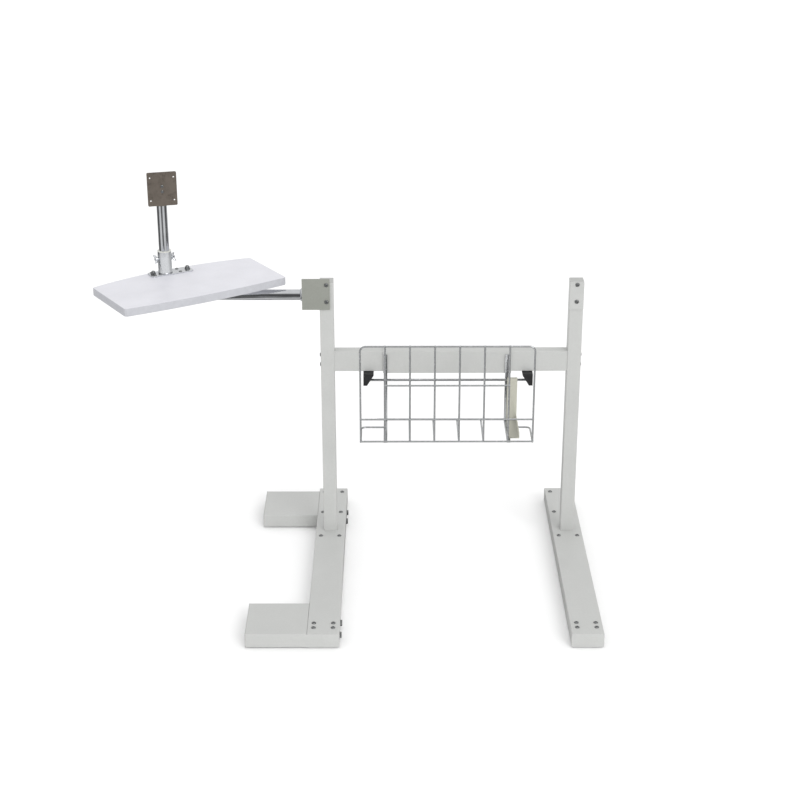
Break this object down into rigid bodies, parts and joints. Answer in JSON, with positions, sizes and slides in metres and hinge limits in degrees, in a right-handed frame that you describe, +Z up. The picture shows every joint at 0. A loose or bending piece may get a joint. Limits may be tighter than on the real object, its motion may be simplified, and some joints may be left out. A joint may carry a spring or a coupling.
{
  "type": "computer holder stand",
  "caption": "Free-standing steel desk frame with a hanging wire computer basket, a swivelling keyboard tray on a side arm and a short monitor mast with a tilting plate.",
  "frame": {"origin": "on the floor, under the middle of the bounding box", "axes": "+X to the right seen from the front, along the crossbeam; +Y to the rear along the feet; +Z up"},
  "size_m": [1.605, 1.026, 1.308],
  "materials": {
    "frame_paint": "semi-gloss powder coat",
    "bracket_paint": "semi-gloss powder coat, a shade darker",
    "cap_plastic": "moulded grey plastic",
    "glide_rubber": "moulded",
    "bolt_zinc": "zinc plated",
    "inner_steel": "bare steel",
    "chrome_tube": "bright chrome plate",
    "nylon": "turned nylon",
    "laminate": "chipboard with pale melamine faces",
    "edge_plastic": "moulded edge",
    "socket_steel": "satin",
    "plate_steel": "dark brushed stainless",
    "wire_zinc": "bright zinc plated wire",
    "wedge_plastic": "moulded black plastic",
    "stop_paint": "beige grey powder coat"
  },
  "bodies": {
    "frame": {"arm_bracket": "bracket_paint", "arm_collar": "chrome_tube", "arm_tube": "chrome_tube", "base_plates": "inner_steel", "beam_bolts": "bolt_zinc", "beam_end_blocks": "inner_steel", "blank_plate": "frame_paint", "blank_plate_bolts": "bolt_zinc", "bracket_bolts": "bolt_zinc", "crossbeam": "frame_paint", "floor_glides": "glide_rubber", "foot_bolts": "bolt_zinc", "front_stub_cap": "cap_plastic", "front_stub_foot": "frame_paint", "left_foot": "frame_paint", "left_foot_cap": "cap_plastic", "left_toe_box": "frame_paint", "left_upright": "frame_paint", "left_upright_cap": "cap_plastic", "nut_bars": "inner_steel", "rear_nut_plates": "inner_steel", "rear_stub_cap": "cap_plastic", "rear_stub_foot": "frame_paint", "right_foot": "frame_paint", "right_foot_cap": "cap_plastic", "right_toe_box": "frame_paint", "right_upright": "frame_paint", "right_upright_cap": "cap_plastic", "stub_bolts": "bolt_zinc", "swivel_bush": "nylon", "swivel_housing": "chrome_tube", "toe_tongues": "inner_steel"},
    "basket": {"beam_saddle": "frame_paint", "left_hanger": "wire_zinc", "right_hanger": "wire_zinc", "rear_rod": "wire_zinc", "left_wedge": "wedge_plastic", "right_wedge": "wedge_plastic", "front_grille": "wire_zinc", "floor_grille": "wire_zinc"},
    "stop": {"computer_stop": "stop_paint"},
    "tray": {"swivel_spindle": "inner_steel", "spindle_keeper": "inner_steel", "tray_plate": "inner_steel", "tray_screws": "bolt_zinc", "tray_board": "laminate", "tray_edge_band": "edge_plastic", "mast_base_plate": "socket_steel", "base_dome_nuts": "bolt_zinc", "base_screws": "bolt_zinc", "mast_socket": "socket_steel", "socket_liner": "nylon"},
    "left_wing": {"left_wing_screw": "socket_steel"},
    "right_wing": {"right_wing_screw": "socket_steel"},
    "mast": {"mast_tube": "chrome_tube"},
    "head": {"pan_head": "plate_steel", "tilt_bolt": "bolt_zinc"},
    "monitor_mount": {"tilt_block": "plate_steel", "monitor_plate": "plate_steel", "plate_screws": "bolt_zinc"}
  },
  "joints": [
    {"name": "basket_slide", "type": "slide", "parent": "frame", "child": "basket", "axis": [1, 0, 0], "range_m": [-0.085, 0.1]},
    {"name": "stop_slide", "type": "slide", "parent": "basket", "child": "stop", "axis": [1, 0, 0], "range_m": [-0.44, 0.012]},
    {"name": "tray_swivel", "type": "hinge", "parent": "frame", "child": "tray", "pos_m": [-0.58917, 0.203, 0.9], "axis": [0, 0, 1], "range_deg": [-90, 90]},
    {"name": "left_wing_turn", "type": "hinge", "parent": "tray", "child": "left_wing", "pos_m": [-0.6068, 0.24323, 1.01], "axis": [0.8746, 0.4848, 0], "range_deg": [-180, 180]},
    {"name": "right_wing_turn", "type": "hinge", "parent": "tray", "child": "right_wing", "pos_m": [-0.57182, 0.26263, 1.01], "axis": [0.8746, 0.4848, 0], "range_deg": [-180, 180]},
    {"name": "mast_height", "type": "slide", "parent": "tray", "child": "mast", "axis": [0, 0, 1], "range_m": [-0.014, 0.022]},
    {"name": "head_pan", "type": "hinge", "parent": "mast", "child": "head", "pos_m": [-0.58931, 0.25293, 1.2], "axis": [0, 0, 1], "range_deg": [-90, 90]},
    {"name": "plate_tilt", "type": "hinge", "parent": "head", "child": "monitor_mount", "pos_m": [-0.58931, 0.25293, 1.253], "axis": [0.9703, 0.2419, 0], "range_deg": [-15, 15]}
  ]
}
